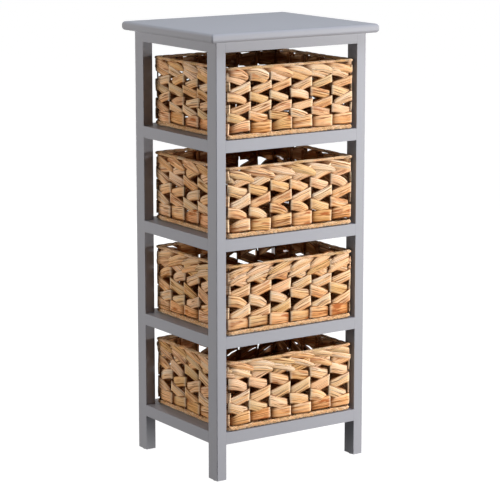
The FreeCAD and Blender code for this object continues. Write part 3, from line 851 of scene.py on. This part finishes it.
for tier, weave in WEAVES.items():
    low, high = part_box(f"basket_{tier}_walls")
    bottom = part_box(f"basket_{tier}_base_edge")[0].z
    inset = Vector((WALL_THICKNESS / 2, WALL_THICKNESS / 2, 0.0))
    path = wall_path("wall_path", low + inset, high - inset, CORNER_RADIUS)
    width = high.x - low.x - WALL_THICKNESS
    depth = high.y - low.y - WALL_THICKNESS
    all_stakes = stake_line("stakes", width, depth, CORNER_RADIUS, ALL_WALLS)
    far_stakes = stake_line("far_stakes", width, depth, CORNER_RADIUS, FAR_WALLS)
    right_stakes = stake_line("right_stakes", width, depth, CORNER_RADIUS, (RIGHT_WALL,))
    shared = {
        "Path": path, "Material": hyacinth, "Unevenness": WALL_UNEVENNESS,
        "Seed": tier * SEEDS_PER_BASKET, "Seed Place": (tier * SEED_STRIDE, 0.0, 0.0),
        "Alternate": 1.0, "Back Turn": 0.0, "Lean": 0.0, "Stretch": 1.0, "Fullness": 1.0}
    back = {"Back Turn": weave["back"]}
    first = bottom + weave["first"]
    row_height = weave["row"]
    zigzag = woven_rows("zigzag", all_stakes, shared, weave["rows"], first, row_height, weave["turn"], back)
    lining = woven_rows("lining", far_stakes, shared, weave["rows"] - 1, first - row_height, row_height,
                        weave["turn"], back)
    window = weave["rows"] - 2
    patch = woven_rows("patch", right_stakes, shared, 1, first + window * row_height, row_height,
                       weave["turn"] + 1 + window, {})
    height, row_height, turn = weave["base"]
    base = woven_rows("base", all_stakes, shared, 1, bottom + height, row_height, turn, {})
    height, row_height, turn = weave["leaf"]
    fall = {"Alternate": 0.0, "Lean": math.radians(weave["lean"]), "Stretch": weave["length"],
            "Fullness": weave["fullness"]}
    leaves = woven_rows("leaves", all_stakes, shared, weave["leaf_rows"], bottom + height, row_height,
                        turn, fall)
    collar = woven_rows("collar", far_stakes, shared, 1, high.z - COLLAR_DROP, COLLAR_ROW, turn, {})
    walls = joined(f"basket_{tier}_woven_walls", [zigzag, lining, patch, base, leaves, collar])
    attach(walls, f"basket_{tier}")
    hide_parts(f"basket_{tier}_walls")

# Rim and bottom edge: strips wound round the two rings of the wire frame, each turn over the last.
# The rim's turns lie flat and close; the bottom edge is twisted like a rope.

RIM = {"Turns": 44, "Lay": 0, "Groove": 0.0007, "Grain Length": 3.0, "Lanes": 4.0}
TWIST = {"Turns": 120, "Lay": 2, "Groove": 0.0014, "Grain Length": 6.0, "Lanes": 2.0}
RIM_SEED = 40
TWIST_SEED = 60
RIM_CORNER = 0.006
TURN_STEPS = 8
ROUND_STEPS = 12
TOUCHING = 0.00001
SOFT_START = 3.0
STEEP_END = 9.0
GROOVE_CHANCES = (-0.5, 0.3)
LANE_EDGE = 0.10
BAND_TONES = (0.55, 1.0)
BAND_UNEVENNESS = (0.0016, 0.0016, 0.0022)
BAND_SEED_STRIDE = 0.37

start, given = new_tree("wound_band", (
    ("Path", "Object"), ("Material", "Material"), ("Turns", "Int"), ("Lay", "Int"), ("Groove", "Float"),
    ("Section Width", "Float"), ("Section Height", "Float"), ("Outward", "Float"),
    ("Middle Height", "Float"), ("Grain Length", "Float"), ("Lanes", "Float"),
    ("Unevenness", "Vector"), ("Seed Place", "Vector"), ("Seed", "Int"),
))
sheet = start.node("GeometryNodeMeshGrid", {}, {
    "Size X": 1.0, "Size Y": 1.0, "Vertices X": given["Turns"] * TURN_STEPS + 1,
    "Vertices Y": ROUND_STEPS + 1})
gone, around = [place + 0.5 for place in split(start, here(start))[:2]]
angle = around * (2 * math.pi)
phase = gone * given["Turns"] + around * given["Lay"]
turn = phase.math("FLOOR")
part = phase - turn
swell = (1 - (1 - part).math("POWER", SOFT_START)) - part.math("POWER", STEEP_END)
lane = (around * given["Lanes"]).math("FRACT")
lies_flat = given["Lay"].math("LESS_THAN", 0.5)
same_turn = turn.math("FLOORED_MODULO", given["Turns"])
varied = chance(start, *GROOVE_CHANCES, given["Seed"], same_turn) * lies_flat
depth = given["Groove"] * (varied + 1)
shrink = (swell - 1) * depth
sheet = store(start, sheet, "tone", chance(start, *BAND_TONES, given["Seed"] + 1, turn))
on_lane = lane * (1 - 2 * LANE_EDGE) + LANE_EDGE
sheet = store(start, sheet, "grain", combine(start, gone * given["Grain Length"], on_lane, 0.0),
              "FLOAT_VECTOR")
length = walked(start, given["Path"])[1]
flat = combine(
    start, gone * length,
    given["Outward"] + angle.math("COSINE") * (given["Section Width"] / 2.0 + shrink),
    given["Middle Height"] + angle.math("SINE") * (given["Section Height"] / 2.0 + shrink))
band = start.node("GeometryNodeSetPosition", {}, {"Geometry": sheet, "Position": flat})
band = bend_round(start, band, given["Path"], given["Unevenness"], given["Seed Place"])
band = start.node("GeometryNodeMergeByDistance", {}, {"Geometry": band, "Distance": TOUCHING})
band = start.node("GeometryNodeSetShadeSmooth", {}, {"Geometry": band})
band = start.node("GeometryNodeSetMaterial", {}, {"Geometry": band, "Material": given["Material"]})
start.node("NodeGroupOutput", {}, {"Geometry": band})
wound_tree = start.tree


def wound(name, path, outward, upward, winding, seed):
    """A closed band wound round a path. Its section reaches from one measure to the other each way."""
    piece = bpy.data.objects.new(name, grown(name, bpy.data.meshes.new(name), wound_tree, winding | {
        "Path": path, "Material": hyacinth, "Unevenness": BAND_UNEVENNESS, "Seed": seed,
        "Seed Place": (seed * BAND_SEED_STRIDE, 0.0, 0.0),
        "Section Width": outward[1] - outward[0], "Section Height": upward[1] - upward[0],
        "Outward": (outward[0] + outward[1]) / 2, "Middle Height": (upward[0] + upward[1]) / 2}))
    bpy.context.collection.objects.link(piece)
    return piece


INWARD = 0.001
RIM_RAISED = 0.0015
TWIST_PROUD = 0.0005
TWIST_RISE = 0.001
TWIST_CLEAR = 0.0002

for tier in range(1, TIERS + 1):
    low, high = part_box(f"basket_{tier}_walls")
    inset = Vector((WALL_THICKNESS / 2, WALL_THICKNESS / 2, 0.0))
    path = wall_path("wall_path", low + inset, high - inset, RIM_CORNER)
    inner = -WALL_THICKNESS / 2 - INWARD
    rim_low, rim_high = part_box(f"basket_{tier}_rim")
    rim_proud = rim_high.x - high.x
    rim = wound(f"basket_{tier}_wound_rim", path, (inner, WALL_THICKNESS / 2 + rim_proud),
                (rim_low.z + RIM_RAISED, rim_high.z), RIM, RIM_SEED + tier)
    edge_low, edge_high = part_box(f"basket_{tier}_base_edge")
    edge = wound(f"basket_{tier}_twisted_edge", path, (inner, WALL_THICKNESS / 2 + TWIST_PROUD),
                 (edge_low.z + TWIST_CLEAR, edge_high.z + TWIST_RISE), TWIST, TWIST_SEED + tier)
    for piece, node in ((rim, "rim"), (edge, "base_edge")):
        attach(piece, f"basket_{tier}")
        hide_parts(f"basket_{tier}_{node}")

# Woven floor: broad strips of the same stems laid both ways, over one and under the next.
# Their ends are tied into the bottom edge.

FLOOR_STRIP = 0.021
FLOOR_COVER_SHARE = 0.93
FLOOR_WAVE = 0.0011
FLOOR_CROWN = 0.0006
FLOOR_THICKNESS = 0.0012
FLOOR_TONES = (0.3, 0.9)
STRIP_STEPS = 4
LENGTHWISE_SEED = 70
CROSSWISE_SEED = 80

start, given = new_tree("floor_strips", (
    ("Count", "Int"), ("Pitch", "Float"), ("Length", "Float"), ("Cells", "Int"), ("Turned", "Float"),
    ("Middle", "Vector"), ("Parity", "Float"), ("Seed", "Int"), ("Material", "Material"),
))
breadth = given["Pitch"] * FLOOR_COVER_SHARE
first = (given["Count"] - 1) * given["Pitch"] * -0.5
line = start.node("GeometryNodeMeshLine", {}, {
    "Count": given["Count"], "Start Location": combine(start, first, 0.0, 0.0),
    "Offset": combine(start, given["Pitch"], 0.0, 0.0)})
line = store(start, line, "number", start.node("GeometryNodeInputIndex", {}, {}))
line = store(start, line, "tone", chance(start, *FLOOR_TONES, given["Seed"]))
ribbon = start.node("GeometryNodeMeshGrid", {}, {
    "Size X": breadth, "Size Y": given["Length"], "Vertices X": STRIP_STEPS + 1,
    "Vertices Y": given["Cells"] * STRIP_STEPS + 1})
across, along = split(start, here(start))[:2]
ribbon = store(start, ribbon, "grain", combine(start, along, across / breadth + 0.5, 0.0), "FLOAT_VECTOR")
strips = start.node("GeometryNodeInstanceOnPoints", {}, {"Points": line, "Instance": ribbon})
solid = start.node("GeometryNodeRealizeInstances", {}, {"Geometry": strips})
cell = given["Length"] / given["Cells"]
step = along / cell + named(start, "number") + given["Parity"] + given["Cells"] * 0.5
wave = ((step + 0.5) * math.pi).math("SINE") * FLOOR_WAVE
share = split(start, named(start, "grain", "FLOAT_VECTOR"))[1]
crown = (1 - (share * 2.0 - 1).math("POWER", 2.0)) * FLOOR_CROWN
turned = given["Turned"]
spot = combine(start, across * (1 - turned) + along * turned,
               along * (1 - turned) + across * turned, wave + crown)
solid = start.node("GeometryNodeSetPosition", {}, {
    "Geometry": solid, "Position": vectors(start, "ADD", spot, given["Middle"])})
solid = start.node("GeometryNodeSetShadeSmooth", {}, {"Geometry": solid})
solid = start.node("GeometryNodeSetMaterial", {}, {"Geometry": solid, "Material": given["Material"]})
start.node("NodeGroupOutput", {}, {"Geometry": solid})
floor_tree = start.tree

for tier in range(1, TIERS + 1):
    low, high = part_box(f"basket_{tier}_floor")
    size = high - low
    rows = round(size.y / FLOOR_STRIP)
    columns = round(size.x / FLOOR_STRIP)
    shared = {"Middle": (low + high) / 2, "Material": hyacinth}
    lengthwise = grown("lengthwise", bpy.data.meshes.new("lengthwise"), floor_tree, shared | {
        "Count": columns, "Pitch": size.x / columns, "Length": size.y, "Cells": rows,
        "Turned": 0.0, "Parity": 0.0, "Seed": LENGTHWISE_SEED + tier})
    crosswise = grown("crosswise", bpy.data.meshes.new("crosswise"), floor_tree, shared | {
        "Count": rows, "Pitch": size.y / rows, "Length": size.x, "Cells": columns,
        "Turned": 1.0, "Parity": 1.0, "Seed": CROSSWISE_SEED + tier})
    panel = joined(f"basket_{tier}_woven_floor", [lengthwise, crosswise])
    thickness = panel.modifiers.new("thickness", "SOLIDIFY")
    thickness.thickness = FLOOR_THICKNESS
    thickness.offset = 0.0
    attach(panel, f"basket_{tier}")
    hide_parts(f"basket_{tier}_floor")
